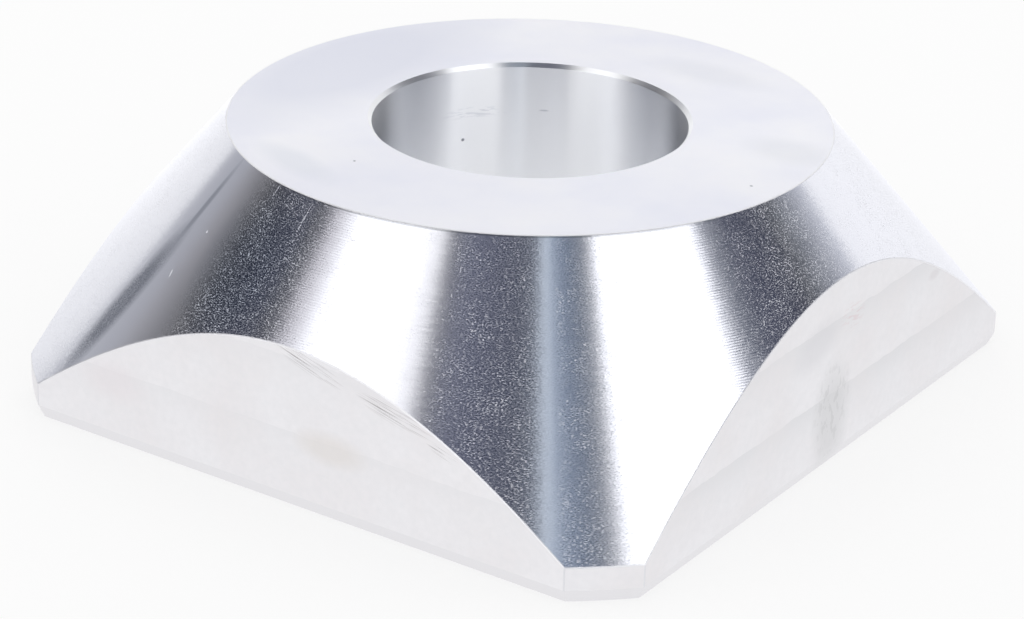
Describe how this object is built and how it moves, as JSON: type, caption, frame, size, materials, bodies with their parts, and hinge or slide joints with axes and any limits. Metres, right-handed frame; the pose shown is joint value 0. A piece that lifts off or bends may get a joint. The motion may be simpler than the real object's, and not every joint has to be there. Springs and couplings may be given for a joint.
{
  "type": "wheel centering cone",
  "caption": "Truncated metal cone with a through bore and flats milled down its sides, which centres a wheel's hub hole on a balancer shaft.",
  "frame": {"origin": "centre of the base face, on the bore's axis", "axes": "+Z along the bore axis, from the wide base to the narrow top; +X square to one of the closer pair of flats, +Y square to one of the wider pair"},
  "size_m": [0.0926, 0.0996, 0.0345],
  "materials": {
    "machined_aluminium": "turned cone and bore, milled flats, bare metal"
  },
  "bodies": {
    "root": {"centering_cone": "machined_aluminium"}
  },
  "joints": []
}
